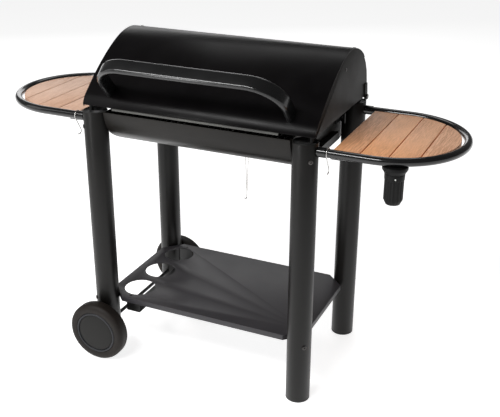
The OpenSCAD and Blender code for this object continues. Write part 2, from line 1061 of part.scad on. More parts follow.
// domed disc with the running bore
module disc(s) {
    h = tyre_w / 2;
    sink = 2;
    color(black)
        translate([-leg_x, s * (wheel_in + h), wheel_z])
            rotate([s * 90, 0, 0])
                rotate_extrude($fn = 144)
                    difference() {
                        union() {
                            square([disc_r - slip, h]);
                            translate([0, -h + sink])
                                square([disc_r - slip, h]);
                        }
                        translate([-1, -h + 5])
                            square([1 + axle_r + run, tyre_w]);
                        translate([24, 4])
                            square([disc_r - 34, h]);
                    }
}

module tyre_front() {
    tyre(-1);
}

module disc_front() {
    disc(-1);
}

module tyre_rear() {
    tyre(1);
}

module disc_rear() {
    disc(1);
}

leg_front_left();
leg_front_right();
leg_rear_left();
leg_rear_right();
leg_caps();
foot_plugs();
shelf();
shelf_screws();
bottle_strap();
strap_rivets();
axle();
firebox_trough();
end_plate_left();
end_plate_right();
firebox_brackets();
bracket_screws();
grate_ledges();
grate_left();
grate_right();
flame_tamers();
burner_front();
burner_rear();
gas_manifold();
gas_pipe();
valve_housing();
twist_grip();
drain_spout();
hanger_lug();
drip_hanger();
table_tube_left();
table_tube_right();
table_rails_left();
table_rails_right();
slat_left_1();
slat_left_2();
slat_left_3();
slat_left_4();
slat_right_1();
slat_right_2();
slat_right_3();
slat_right_4();
slat_screws();
hook_left();
hook_right();
hinge_brackets();
hinge_bolts();
lid_skin();
lid_end_left();
lid_end_right();
lid_back();
lid_strip();
lid_bumpers();
lid_screws();
handle();
handle_plugs();
warming_rack();
tyre_front();
disc_front();
tyre_rear();
disc_rear();
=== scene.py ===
import json
import math

import bmesh
import bpy
from mathutils import Matrix, Vector


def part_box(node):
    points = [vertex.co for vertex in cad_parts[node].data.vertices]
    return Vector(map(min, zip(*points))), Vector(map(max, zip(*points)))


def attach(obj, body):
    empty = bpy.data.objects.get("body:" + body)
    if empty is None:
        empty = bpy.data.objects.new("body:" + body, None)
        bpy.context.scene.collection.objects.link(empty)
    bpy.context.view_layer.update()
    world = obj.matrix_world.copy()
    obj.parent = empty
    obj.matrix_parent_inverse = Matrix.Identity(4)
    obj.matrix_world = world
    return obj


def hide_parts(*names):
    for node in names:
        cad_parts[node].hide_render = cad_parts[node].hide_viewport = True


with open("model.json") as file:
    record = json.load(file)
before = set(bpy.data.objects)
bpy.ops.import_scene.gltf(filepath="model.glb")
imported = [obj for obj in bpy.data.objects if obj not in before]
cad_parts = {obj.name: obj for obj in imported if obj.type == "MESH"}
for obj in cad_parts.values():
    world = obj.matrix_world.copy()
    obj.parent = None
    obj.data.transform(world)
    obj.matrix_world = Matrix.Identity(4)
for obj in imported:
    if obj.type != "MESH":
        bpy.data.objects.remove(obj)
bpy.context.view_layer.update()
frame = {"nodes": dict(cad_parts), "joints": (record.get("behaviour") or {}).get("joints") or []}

# The camera stands in front of the grill and to its right, about head high.
# It looks down along one line, so its place and three angles say it all.
EYE = Vector((1.1315, -2.3369, 1.6347))
TURN, DIP, ROLL = 0.4230, 0.4134, 0.0049
LENS, SENSOR, FAR = 61.97, 36, 200
bpy.ops.object.camera_add(location=EYE, rotation=(math.pi / 2 - DIP, 0, TURN))
camera = bpy.context.object
camera.matrix_world = camera.matrix_world @ Matrix.Rotation(ROLL, 4, "Z")
camera.data.lens = LENS
camera.data.sensor_width = SENSOR
camera.data.clip_end = FAR
bpy.context.scene.camera = camera

# The studio is a pale, faintly glowing floor in a dim room with five soft boxes. Two stand
# behind for the rims, two at the left for the tubes, and a long one hangs high at the front
# for the lid's band of light.
WHITE = (1, 1, 1, 1)
bpy.context.scene.view_settings.view_transform = "Standard"
room = bpy.data.worlds.new("studio")
room.use_nodes = True
room.node_tree.nodes["Background"].inputs["Color"].default_value = WHITE
room.node_tree.nodes["Background"].inputs["Strength"].default_value = 0.10
bpy.context.scene.world = room


def soft_box(name, place, aim, width, height, power):
    """A rectangular lamp that faces a point."""
    bpy.ops.object.light_add(type="AREA", location=place)
    lamp = bpy.context.object
    lamp.name = name
    lamp.data.shape = "RECTANGLE"
    lamp.data.size = width
    lamp.data.size_y = height
    lamp.data.energy = power
    lamp.rotation_euler = (Vector(aim) - Vector(place)).to_track_quat("-Z", "Y").to_euler()


soft_box("rear_wall", (-2.6, 4.0, 2.0), (0, 0, 1.0), 4.4, 1.2, 30)
soft_box("overhead", (-0.5, 1.6, 3.4), (0, 0, 0.8), 2.4, 1.2, 18)
soft_box("left_window", (-2.6, -1.4, 1.9), (0, 0, 0.6), 1.6, 1.8, 10)
soft_box("front_left_strip", (-1.3, -2.7, 1.3), (0, 0, 0.6), 0.3, 1.4, 16)
soft_box("high_front", (-0.8, -2.2, 3.0), (0, 0, 0.85), 2.8, 0.45, 95)

FLOOR_SIZE, FLOOR_LEVEL = 160, -0.001
bpy.ops.mesh.primitive_plane_add(size=FLOOR_SIZE, location=(0, 0, FLOOR_LEVEL))
floor = bpy.context.object
floor.name = "studio_floor"
pale = bpy.data.materials.new("pale_floor")
pale.use_nodes = True
for socket, value in (("Base Color", (0.8, 0.8, 0.8, 1)), ("Roughness", 0.8),
                      ("Emission Color", WHITE), ("Emission Strength", 0.8)):
    pale.node_tree.nodes["Principled BSDF"].inputs[socket].default_value = value
floor.data.materials.append(pale)

# Four legs of round steel tube, powder coated black with a fine orange peel. The right
# pair reaches the floor; the left pair ends above the axle. The top rim is left open.


class Value:
    """A shader socket that adds, scales and compares like a number."""

    def __init__(self, tree, socket=None):
        self.tree, self.socket = tree, socket

    def node(self, kind, settings=None, inputs=None, outlet=0):
        """Any node: its settings are set first, then the values or links of its sockets."""
        made = self.tree.nodes.new("ShaderNode" + kind)
        for key, setting in (settings or {}).items():
            setattr(made, key, setting)
        for key, value in (inputs or {}).items():
            if isinstance(value, Value):
                self.tree.links.new(value.socket, made.inputs[key])
            else:
                made.inputs[key].default_value = value
        return Value(self.tree, made.outputs[outlet])

    def math(self, operation, first, second=0.0):
        """A Math node on two values or numbers."""
        return self.node("Math", {"operation": operation}, {0: first, 1: second})

    def __add__(self, other):
        return self.math("ADD", self, other)

    def __radd__(self, other):
        return self.math("ADD", other, self)

    def __sub__(self, other):
        return self.math("SUBTRACT", self, other)

    def __rsub__(self, other):
        return self.math("SUBTRACT", other, self)

    def __mul__(self, other):
        return self.math("MULTIPLY", self, other)

    def __rmul__(self, other):
        return self.math("MULTIPLY", other, self)

    def __truediv__(self, other):
        return self.math("DIVIDE", self, other)

    def step(self, low, high):
        """0 below low, 1 above high, and smooth between them."""
        return self.node("MapRange", {"interpolation_type": "SMOOTHSTEP"}, {0: self, 1: low, 2: high})

    def mix(self, none, full):
        """One colour where this is 0 and another where it is 1."""
        return self.node("Mix", {"data_type": "RGBA"}, {0: self, 6: none, 7: full}, 2)

    def grain(self, scale, detail=2, roughness=0.5):
        """Noise at this place, about 0 to 1, with features 1/scale metres across."""
        return self.node("TexNoise", {}, {"Vector": self, "Scale": scale, "Detail": detail,
                                          "Roughness": roughness})

    def stretch(self, scale):
        """This place scaled along each axis."""
        return self.node("Mapping", {}, {"Vector": self, "Scale": scale})

    def bump(self, depth):
        """A normal from this height, whose 0 to 1 is depth metres."""
        return self.node("Bump", {}, {"Height": self, "Distance": depth, "Strength": 1.0})

    def part(self, axis):
        """One coordinate of this place."""
        return self.node("SeparateXYZ", {}, {0: self}, axis)


def surface(name, even, varied):
    """A material: even values go straight on the shader, varied(place) gives what changes."""
    made = bpy.data.materials.new(name)
    made.use_nodes = True
    shader = made.node_tree.nodes["Principled BSDF"]
    for socket, value in even.items():
        shader.inputs[socket].default_value = value
    place = Value(made.node_tree).node("TexCoord", {}, {}, "Object")
    for socket, value in varied(place).items():
        made.node_tree.links.new(value.socket, shader.inputs[socket])
    return made


def powder(base, lift, rough, peel, depth):
    """The changing part of a coat or moulding: mottle, upright scuffs and a peel this deep."""
    def varied(place):
        mottle = place.grain(9, 4).step(0.35, 0.7)
        skin = place.grain(peel, 2)
        scuff = place.stretch((30, 30, 4)).grain(6, 5, 0.7).step(0.62, 0.74)
        return {"Base Color": (mottle * 0.7 + scuff * 0.3).mix((*base, 1), (*lift, 1)),
                "Roughness": rough + mottle * 0.06 + scuff * 0.08,
                "Normal": skin.bump(depth)}
    return varied


def begin(kind, name, **size):
    """Adds one primitive with nothing else selected, and opens it for editing."""
    bpy.ops.object.select_all(action="DESELECT")
    getattr(bpy.ops.mesh, f"primitive_{kind}_add")(**size)
    piece = bpy.context.object
    piece.name = piece.data.name = name
    bpy.ops.object.mode_set(mode="EDIT")
    bpy.ops.mesh.select_mode(type="VERT")
    bpy.ops.mesh.select_all(action="SELECT")
    return piece


def pick(piece, kind, test):
    """Selects only the corners, edges or faces whose middle, in the row frame, passes the test."""
    bpy.ops.mesh.select_mode(type=kind)
    bpy.ops.mesh.select_all(action="DESELECT")
    shape = bmesh.from_edit_mesh(piece.data)
    for part in {"VERT": shape.verts, "EDGE": shape.edges, "FACE": shape.faces}[kind]:
        corners = [part] if kind == "VERT" else part.verts
        middle = sum((piece.matrix_world @ corner.co for corner in corners), Vector()) / len(corners)
        if test(middle, part):
            part.select_set(True)
    shape.select_flush_mode()
    bmesh.update_edit_mesh(piece.data)


def pull(x=0.0, y=0.0, z=0.0):
    """Extrudes what is selected."""
    bpy.ops.mesh.extrude_region_move(TRANSFORM_OT_translate={"value": (x, y, z)})


def only(*pieces):
    """Leaves edit mode with just these pieces selected and the first one active."""
    bpy.ops.object.mode_set(mode="OBJECT")
    bpy.ops.object.select_all(action="DESELECT")
    for piece in pieces:
        piece.select_set(True)
    bpy.context.view_layer.objects.active = pieces[0]


def close(piece, body, nodes, paint, edge=0.0, steps=2, crease=35, corner=30):
    """Edges sharper than corner are rounded by edge metres; those above crease shade as sharp."""
    only(piece)
    bpy.ops.object.transform_apply(location=True, rotation=True, scale=True)
    if edge:
        rounding = piece.modifiers.new("broken_edge", "BEVEL")
        rounding.width, rounding.segments = edge, steps
        rounding.limit_method, rounding.angle_limit = "ANGLE", math.radians(corner)
        bpy.ops.object.modifier_apply(modifier=rounding.name)
    bpy.ops.object.shade_smooth_by_angle(angle=math.radians(crease))
    piece.data.materials.clear()
    piece.data.materials.append(paint)
    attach(piece, body)
    if nodes:
        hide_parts(*nodes)
    return piece


leg_coat = surface("leg_powder_coat", {"Specular IOR Level": 0.28},
                   powder((0.0030, 0.0026, 0.0022), (0.0052, 0.0046, 0.0040), 0.36, 700, 0.00012))
LEG_WALL, LEG_RIM = 0.002, 0.1
leg_low, leg_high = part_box("leg_front_right")
LEG_RADIUS = (leg_high.x - leg_low.x) / 2
LEG_X, LEG_Y = leg_low.x + LEG_RADIUS, abs(leg_low.y + LEG_RADIUS)
for side in ("left", "right"):
    for end in ("front", "rear"):
        low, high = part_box(f"leg_{end}_{side}")
        leg = begin("cylinder", f"leg_{end}_{side}_tube", vertices=72, radius=(high.x - low.x) / 2,
                    depth=high.z - low.z, end_fill_type="NGON", location=(low + high) / 2)
        for level, way in ((high.z, -1), (low.z, 1)):
            pick(leg, "FACE", lambda at, face: abs(at.z - level) < 1e-4)
            bpy.ops.mesh.inset(thickness=LEG_WALL)
            pull(z=way * LEG_RIM)
            bpy.ops.mesh.delete(type="ONLY_FACE")
        close(leg, "cart", [f"leg_{end}_{side}"], leg_coat, edge=0.0006)

# Plastic cups close the leg tops a little below the rim. Each is a shallow moulded dish
# with a raised ring, pressed in by hand.
moulded = surface("moulded_black", {},
                  powder((0.012, 0.012, 0.012), (0.02, 0.02, 0.02), 0.5, 1400, 0.00008))
CUP_RADIUS, CUP_DEPTH = 0.0356, 0.008
CUP_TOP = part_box("leg_caps")[1].z
# Each step of the dish, from the rim inwards: how far in, and how far up
CUP_STEPS = ((0.0025, 0), (0.0015, -0.0025), (0.012, 0), (0.0012, 0.0012), (0.0012, 0),
             (0.001, -0.0012))
for side in ("left", "right"):
    for end in ("front", "rear"):
        low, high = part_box(f"leg_{end}_{side}")
        middle = (low + high) / 2
        cup = begin("cylinder", f"leg_cup_{end}_{side}", vertices=56, radius=CUP_RADIUS,
                    depth=CUP_DEPTH, end_fill_type="NGON",
                    location=(middle.x, middle.y, CUP_TOP - CUP_DEPTH / 2))
        pick(cup, "FACE", lambda at, face: at.z > CUP_TOP - 0.001)
        for inset, lift in CUP_STEPS:
            bpy.ops.mesh.inset(thickness=inset)
            bpy.ops.transform.translate(value=(0, 0, lift))
        close(cup, "cart", ["leg_caps"], moulded, edge=0.0004)

# Plugs close the lower ends. The right pair are thick feet with a rounded foot ring, the
# left pair sit flush above the axle.
FLUSH_PLUG, FOOT_RING, FOOT_HOLLOW, PLUG_WALL, PLUG_NECK = 0.004, 0.007, 0.002, 0.0022, 0.02
for side, level in (("right", 0.0), ("left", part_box("leg_front_left")[0].z - FLUSH_PLUG)):
    for end in ("front", "rear"):
        low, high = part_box(f"leg_{end}_{side}")
        middle = (low + high) / 2
        foot = begin("cylinder", f"foot_plug_{end}_{side}", vertices=56, radius=(high.x - low.x) / 2,
                     depth=low.z - level, end_fill_type="NGON",
                     location=(middle.x, middle.y, (low.z + level) / 2))
        pick(foot, "FACE", lambda at, face: abs(at.z - level) < 1e-4)
        bpy.ops.mesh.inset(thickness=FOOT_RING)
        pull(z=FOOT_HOLLOW)
        pick(foot, "FACE", lambda at, face: abs(at.z - low.z) < 1e-4)
        bpy.ops.mesh.inset(thickness=PLUG_WALL)
        pull(z=PLUG_NECK)
        close(foot, "cart", ["foot_plugs"], moulded, edge=0.0012, steps=3)

# Blackened screws clamp the firebox and the shelf to the legs. Each has a domed head with
# a hexagon socket on the outside of a leg, and a nut inside.
blackened = surface("blackened_steel", {"Metallic": 0.85},
                    powder((0.05, 0.05, 0.05), (0.11, 0.1, 0.095), 0.36, 900, 0.00006))


def settle():
    """Leaves edit mode and puts the selected piece's place, turn and size into its mesh."""
    bpy.ops.object.mode_set(mode="OBJECT")
    bpy.ops.object.transform_apply(location=True, rotation=True, scale=True)


def stand(piece, place, way):
    """Stands a piece that was made along Z on a place, pointing along way."""
    bpy.ops.object.mode_set(mode="OBJECT")
    turn = Vector(way).to_track_quat("Z", "Y").to_matrix().to_4x4()
    piece.matrix_world = Matrix.Translation(place) @ turn
    settle()
    return piece


def screw_head(name, radius, height, place, way, washer=True):
    """A domed screw head with a socket; place is on the surface, way points out of it."""
    head = begin("cylinder", name, vertices=30, radius=radius, depth=height, end_fill_type="NGON",
                 location=(0, 0, height / 2))
    pick(head, "FACE", lambda at, face: at.z > height * 0.9)
    bpy.ops.mesh.inset(thickness=radius * 0.16)
    bpy.ops.transform.translate(value=(0, 0, height * 0.22))
    bpy.ops.mesh.inset(thickness=radius * 0.22)
    bpy.ops.transform.translate(value=(0, 0, height * 0.1))
    bpy.ops.mesh.inset(thickness=radius * 0.14)
    pull(z=-height * 0.7)
    if washer:
        pick(head, "FACE", lambda at, face: at.z < 1e-5)
        pull(z=-0.0004)
        bpy.ops.transform.resize(value=(1.3, 1.3, 1), center_override=(0, 0, 0))
    return stand(head, place, way)


def join(name, parts):
    """Makes one piece of several."""
    only(*parts)
    bpy.ops.object.join()
    parts[0].name = parts[0].data.name = name
    return parts[0]


def nut(name, width, height, place, way):
    """A six-sided nut with a bevelled face."""
    made = begin("cylinder", name, vertices=6, radius=width, depth=height, end_fill_type="NGON",
                 location=(0, 0, height / 2))
    pick(made, "FACE", lambda at, face: at.z > height * 0.9)
    bpy.ops.mesh.inset(thickness=width * 0.1)
    bpy.ops.transform.translate(value=(0, 0, height * 0.08))
    return stand(made, place, way)


# How far inside its leg's face the nut sits: on the shelf's hem, or on a firebox bracket
for node, label, under in (("shelf_screws", "shelf", 0.0022), ("bracket_screws", "firebox", 0.0044)):
    low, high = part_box(node)
    level = (low.z + high.z) / 2
    heads = []
    for side in (-1, 1):
        for end in (-1, 1):
            axis = Vector((side * LEG_X, end * LEG_Y, level))
            out = Vector((side, end, 0)).normalized()
            heads.append(screw_head("head", 0.0068, 0.0034, axis + out * (LEG_RADIUS + 0.0002), out))
            heads.append(nut("nut", 0.0055, 0.004, axis - out * (LEG_RADIUS + under), -out))
    close(join(f"{label}_screw_set", heads), "cart", [node], blackened, crease=25)

# The bottom shelf is one sheet with its edge bent down, its corners cut to meet the legs
# and three bottle holes along its left side. Its coat is a lighter charcoal.
shelf_coat = surface("shelf_powder_coat", {},
                     powder((0.026, 0.0240, 0.0275), (0.031, 0.0290, 0.033), 0.42, 800, 0.00012))
SHEET, SHEET_BEND = 0.002, 0.0022
HOLE_RADIUS, HOLE_PITCH, HOLE_ROW = 0.052, 0.138, -0.267
low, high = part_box("shelf")
CORNER_CUT = high.x + high.y - (LEG_X + LEG_Y - LEG_RADIUS * math.sqrt(2))
shelf = begin("plane", "shelf_sheet", size=1, location=(0, 0, low.z))
bpy.ops.transform.resize(value=(2 * high.x, 2 * high.y, 1))
for sx in (-1, 1):
    for sy in (-1, 1):
        bpy.ops.mesh.select_all(action="SELECT")
        bpy.ops.mesh.bisect(plane_co=(sx * (high.x - CORNER_CUT), sy * high.y, low.z),
                            plane_no=Vector((sx, sy, 0)).normalized(), clear_outer=True)
bpy.ops.mesh.select_all(action="SELECT")
pull(z=high.z - low.z)
pick(shelf, "FACE", lambda at, face: at.z < low.z + 1e-4)
bpy.ops.mesh.delete(type="ONLY_FACE")
settle()


def apply(piece, kind, **settings):
    """Adds one modifier with these settings and applies it."""
    only(piece)
    made = piece.modifiers.new(kind.lower(), kind)
    for key, value in settings.items():
        setattr(made, key, value)
    bpy.ops.object.modifier_apply(modifier=made.name)


def cut(piece, cutter):
    """Cuts one shape out of a piece and removes the cutter."""
    apply(piece, "BOOLEAN", operation="DIFFERENCE", solver="EXACT", object=cutter)
    bpy.data.objects.remove(cutter)


apply(shelf, "SOLIDIFY", thickness=SHEET, offset=-1)
apply(shelf, "BEVEL", width=SHEET_BEND, segments=3, limit_method="ANGLE",
      angle_limit=math.radians(40))
for row in (-1, 0, 1):
    hole = begin("cylinder", "bottle_hole", vertices=96, radius=HOLE_RADIUS, depth=0.03,
                 location=(HOLE_ROW, row * HOLE_PITCH, high.z))
    cut(shelf, hole)
close(shelf, "cart", ["shelf"], shelf_coat, edge=0.0005)

# The bottles stand on a strap of flat steel under the holes. It is bent up at both ends
# and held to the shelf by two rivets.
black_coat = surface("black_powder_coat", {},
                     powder((0.006, 0.006, 0.006), (0.010, 0.010, 0.010), 0.42, 700, 0.00012))
low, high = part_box("bottle_strap")
TAB_LENGTH, TAB, RIVET_Y = 0.019, 0.002, 0.199
strap = begin("plane", "bottle_strap_bar", size=1, location=((low.x + high.x) / 2, 0, low.z + TAB / 2))
bpy.ops.transform.resize(value=(high.x - low.x, 2 * (high.y - TAB_LENGTH), 1))
for end in (-1, 1):
    pick(strap, "EDGE", lambda at, edge: at.y * end > high.y - TAB_LENGTH - 0.001)
    pull(z=high.z - low.z - TAB)
    pull(y=end * (TAB_LENGTH - 0.001))
settle()
apply(strap, "SOLIDIFY", thickness=TAB, offset=0)
apply(strap, "BEVEL", width=0.0016, segments=2, limit_method="ANGLE",
      angle_limit=math.radians(60))
close(strap, "cart", ["bottle_strap"], black_coat)
rivets = []
for end in (-1, 1):
    place = Vector(((low.x + high.x) / 2, end * RIVET_Y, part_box("shelf")[1].z))
    rivets.append(screw_head("rivet", 0.005, 0.0012, place, (0, 0, 1), washer=False))
close(join("strap_rivet_set", rivets), "cart", ["strap_rivets"], blackened, crease=25)

# The axle is a plain black rod through both left legs.
low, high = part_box("axle")
rod = begin("cylinder", "axle_rod", vertices=32, radius=(high.x - low.x) / 2, depth=high.y - low.y,
            location=(low + high) / 2, rotation=(math.pi / 2, 0, 0))
close(rod, "cart", ["axle"], black_coat, edge=0.001)

# The firebox is a folded trough of enamelled sheet between the legs, with a flat end wall
# welded on at each side. Its enamel is a warm dark grey with a fine grain.
firebox_coat = surface("firebox_enamel", {"Specular IOR Level": 0.25},
                       powder((0.0058, 0.0048, 0.0038), (0.0105, 0.0090, 0.0074), 0.38, 1100, 0.00014))


def curve(p, q, r, s, count):
    """Points along one smooth curve from p towards s, without s itself."""
    points = []
    for i in range(count):
        t = i / count
        k = 1 - t
        points.append(tuple(k ** 3 * a + 3 * k * k * t * b + 3 * k * t * t * c + t ** 3 * d
                            for a, b, c, d in zip(p, q, r, s)))
    return points


def folded_sheet(name, outline, start, stop, wall):
    """A sheet that follows an outline of (y, z) in millimetres, from X start to X stop. It
    is wall metres thick, on its hollow side."""
    first, second = outline[0], outline[1]
    sheet = begin("plane", name, size=1)
    corners = [(start, first), (stop, first), (start, second), (stop, second)]
    shape = bmesh.from_edit_mesh(sheet.data)
    for corner, (x, (y, z)) in zip(sorted(shape.verts, key=lambda v: (v.co.y, v.co.x)), corners):
        corner.co = (x, y / 1000, z / 1000)
    bmesh.update_edit_mesh(sheet.data)
    pick(sheet, "EDGE", lambda at, edge: abs(at.y - second[0] / 1000) < 1e-6
         and abs(at.z - second[1] / 1000) < 1e-6)
    for (y0, z0), (y1, z1) in zip(outline[1:], outline[2:]):
        pull(y=(y1 - y0) / 1000, z=(z1 - z0) / 1000)
    bpy.ops.mesh.select_all(action="SELECT")
    bpy.ops.mesh.normals_make_consistent(inside=False)
    apply(sheet, "SOLIDIFY", thickness=wall, offset=-1, use_even_offset=True)
    return sheet


def plate(name, outline, start, stop):
    """A flat plate whose edge is an outline of (y, z) in millimetres, from X start to X stop."""
    made = begin("circle", name, vertices=len(outline), radius=1, fill_type="NGON")
    shape = bmesh.from_edit_mesh(made.data)
    shape.verts.ensure_lookup_table()
    ring = sorted(shape.verts, key=lambda v: math.atan2(v.co.y, v.co.x))
    for corner, (y, z) in zip(ring, outline):
        corner.co = (start, y / 1000, z / 1000)
    bmesh.update_edit_mesh(made.data)
    bpy.ops.mesh.select_all(action="SELECT")
    pull(x=stop - start)
    bpy.ops.mesh.select_all(action="SELECT")
    bpy.ops.mesh.normals_make_consistent(inside=False)
    bpy.ops.object.mode_set(mode="OBJECT")
    return made


low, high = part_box("firebox_trough")
TROUGH = (curve((-235, 851), (-232, 822), (-224, 806), (-211, 786), 12)
          + curve((-211, 786), (-196, 765), (-140, 738), (-75, 720), 16)
          + [(-75, 720), (195, 720)]
          + curve((195, 720), (222, 720), (235, 735), (235, 762), 10)
          + [(235, 762), (235, 851)])
trough = folded_sheet("firebox_trough_sheet", TROUGH, low.x, high.x, 0.002)
close(trough, "cart", ["firebox_trough"], firebox_coat, edge=0.0004, corner=50)
for side in ("left", "right"):
    low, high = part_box(f"end_plate_{side}")
    wall = plate(f"firebox_end_{side}", TROUGH, low.x, high.x)
    close(wall, "cart", [f"end_plate_{side}"], firebox_coat, edge=0.0008, corner=50)

# The lid's skin is one sheet rolled over the top, smooth semi-gloss enamel. Its rear edge
# stands clear of the back wall, so heat leaves through the slot.
lid_paint = surface("lid_enamel", {"Specular IOR Level": 0.1},
                    powder((0.0022, 0.0018, 0.0020), (0.0035, 0.0030, 0.0033), 0.30, 260, 0.00005))
REAR = (92, 1048), (130, 1041), (172, 1022), (190, 1001)
LID = (curve((-232, 866), (-230, 877), (-222, 890), (-212.5, 898.5), 8)
       + curve((-212.5, 898.5), (-206, 904), (-182, 925.5), (-176.5, 930.5), 3)
       + curve((-176.5, 930.5), (-130, 971), (-62, 1018), (-2, 1040), 16)
       + curve((-2, 1040), (32, 1051), (64, 1055), (92, 1048), 14)
       + curve(*REAR, 14) + [(190, 1001)])
low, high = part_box("lid_skin")
skin = folded_sheet("lid_rolled_skin", LID, low.x, high.x, 0.002)
close(skin, "lid", ["lid_skin"], lid_paint, edge=0.0006, corner=50)

# End walls of the lid are flat sheet with a duller coat. A thick plate on the outside of
# each carries the bore for the hinge bolt, and stands proud at the rear corner.
wall_paint = surface("lid_wall_enamel", {"Specular IOR Level": 0.08},
                     powder((0.007, 0.006, 0.005), (0.012, 0.010, 0.009), 0.5, 700, 0.0001))
WALL_SHEET, BOSS_PLATE, BOSS_RADIUS, BOSS_FOOT = 0.0025, 0.003, 14, 910
INNER_LID = [(y + 2 if y < 0 else y * 0.9915, z - 2.1) for y, z in LID]
HINGE = next(joint for joint in frame["joints"] if joint["name"] == "lid_hinge")["pos_m"]
HINGE_Y, HINGE_Z = HINGE[1] * 1000, HINGE[2] * 1000
END_WALL = INNER_LID + [(206, 978), (221, 951), (228.5, 917), (233, 883), (233, 869), (-229, 869)]
BOSS = ([(HINGE_Y + BOSS_RADIUS * math.cos(-math.pi * i / 12),
          HINGE_Z + BOSS_RADIUS * math.sin(-math.pi * i / 12)) for i in range(13)]
        + [(HINGE_Y - 22, BOSS_FOOT), (HINGE_Y + 6, BOSS_FOOT)])
for side in ("left", "right"):
    low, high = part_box(f"lid_end_{side}")
    start = low.x if side == "right" else high.x - WALL_SHEET
    outer = start + WALL_SHEET if side == "right" else low.x
    wall = plate("wall", END_WALL, start, start + WALL_SHEET)
    boss = plate("boss", BOSS, outer, outer + BOSS_PLATE)
    close(join(f"lid_wall_{side}", [wall, boss]), "lid", [f"lid_end_{side}"], wall_paint,
          edge=0.0006, corner=50)

# The back wall of the lid is a second sheet of the same enamel. It is bent to follow the
# end walls, below the rear slot.
low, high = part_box("lid_back")
BACK = curve((190.5, 993), (214, 970), (226, 925), (231, 884), 14) + [(231, 884)]
back = folded_sheet("lid_back_sheet", BACK, low.x, high.x, 0.0018)
close(back, "lid", ["lid_back"], lid_paint, edge=0.0005, corner=50)

# A plain light strip of steel runs along the lid's lower front edge, where it meets the
# firebox. It is a narrow bar with a shallow channel at the back.
strip_steel = surface("strip_steel", {"Metallic": 0.5},
                      powder((0.07, 0.07, 0.066), (0.12, 0.12, 0.11), 0.45, 500, 0.00005))
low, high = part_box("lid_strip")
strip = begin("cube", "lid_front_strip", size=1, location=(low + high) / 2)
bpy.ops.transform.resize(value=tuple(high - low))
pick(strip, "FACE", lambda at, face: at.y > high.y - 1e-4)
bpy.ops.mesh.inset(thickness=0.001)
pull(y=-0.002)
close(strip, "lid", ["lid_strip"], strip_steel, edge=0.0006)

# Rubber pads under the lid's front corners rest on the leg caps. Each is a turned stub
# pushed into a small block under the corner.
soft_rubber = surface("soft_rubber", {},
                      powder((0.014, 0.014, 0.014), (0.022, 0.022, 0.022), 0.65, 900, 0.0001))
low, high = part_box("lid_bumpers")
PAD_X, PAD_Y, PAD_LENGTH, BLOCK_X, BLOCK = 0.362, -0.213, 0.0216, 0.366, (0.02, 0.02, 0.006)
pads = []
for side in (-1, 1):
    pad = begin("cylinder", "pad", vertices=32, radius=0.006, depth=PAD_LENGTH,
                location=(side * PAD_X, PAD_Y, low.z + PAD_LENGTH / 2))
    pick(pad, "FACE", lambda at, face: at.z < low.z + 0.001)
    bpy.ops.mesh.inset(thickness=0.0012)
    settle()
    block = begin("cube", "pad_block", size=1,
                  location=(side * BLOCK_X, PAD_Y, low.z + PAD_LENGTH + BLOCK[2] / 2))
    bpy.ops.transform.resize(value=BLOCK)
    settle()
    pads += [pad, block]
close(join("lid_pad_set", pads), "lid", ["lid_bumpers"], soft_rubber, edge=0.0008)

# Screws hold the skin to the end walls: two at each end behind the top, one on each wall.
# Their blackened domed heads sit square on the sheet, without washers.
heads = []
rear = curve(*REAR, 50)
edge_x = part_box("lid_skin")[1].x
WALL_SCREW_Y, WALL_SCREW_Z = 0.011, 1.001
for side in (-1, 1):
    for step in (11, 21):
        (y0, z0), (y1, z1) = rear[step - 1], rear[step + 1]
        place = Vector((side * (edge_x - 0.012), rear[step][0] / 1000, rear[step][1] / 1000))
        square = Vector((0, z0 - z1, y1 - y0)).normalized()
        heads.append(screw_head("head", 0.0052, 0.0022, place, square, washer=False))
    place = Vector((side * (edge_x - 0.0005), WALL_SCREW_Y, WALL_SCREW_Z))
    heads.append(screw_head("head", 0.005, 0.0016, place, (side, 0, 0), washer=False))
close(join("lid_screw_set", heads), "lid", ["lid_screws"], blackened, crease=25)

# The handle is one flat-oval tube bent into a wide bow, its broad side towards the cook's
# palm. Both feet meet the lid's face square on and are screwed from inside.
handle_paint = surface("handle_enamel",
                       {"Coat Weight": 0.8, "Coat Roughness": 0.16, "Specular IOR Level": 0.15},
                       powder((0.005, 0.005, 0.0052), (0.008, 0.008, 0.0083), 0.26, 300, 0.00003))
FOOT = Vector((0, -0.1992, 0.9103))
OUT = Vector((0, -32, 36)).normalized()
BROAD = OUT.cross(Vector((1, 0, 0)))
HANDLE_EDGE, HANDLE_FLAT = 0.009, 0.0145
HANDLE_OUT, HANDLE_HALF, HANDLE_BEND = 0.144, 0.294, 0.098
start = FOOT - Vector((HANDLE_HALF, 0, 0))
bow = begin("circle", "handle_bow", vertices=44, radius=HANDLE_EDGE)
shape = bmesh.from_edit_mesh(bow.data)
ring = sorted(shape.verts, key=lambda v: math.atan2(v.co.y, v.co.x))
for number, corner in enumerate(ring):
    angle = 2 * math.pi * (number + 0.5) / len(ring)
    side = HANDLE_EDGE * math.sin(angle) + math.copysign(HANDLE_FLAT, math.sin(angle))
    corner.co = start + Vector((HANDLE_EDGE * math.cos(angle), 0, 0)) + BROAD * side
bmesh.update_edit_mesh(bow.data)
bpy.ops.mesh.select_all(action="SELECT")
pull(*(OUT * (HANDLE_OUT - HANDLE_BEND)))
bend = start + OUT * (HANDLE_OUT - HANDLE_BEND) + Vector((HANDLE_BEND, 0, 0))
bpy.ops.mesh.spin(steps=20, angle=-math.pi / 2, center=bend, axis=BROAD)
pull(x=2 * (HANDLE_HALF - HANDLE_BEND))
bend.x = HANDLE_HALF - HANDLE_BEND
bpy.ops.mesh.spin(steps=20, angle=-math.pi / 2, center=bend, axis=BROAD)
pull(*(-OUT * (HANDLE_OUT - HANDLE_BEND)))
bpy.ops.mesh.select_all(action="SELECT")
bpy.ops.mesh.remove_doubles(threshold=1e-5)
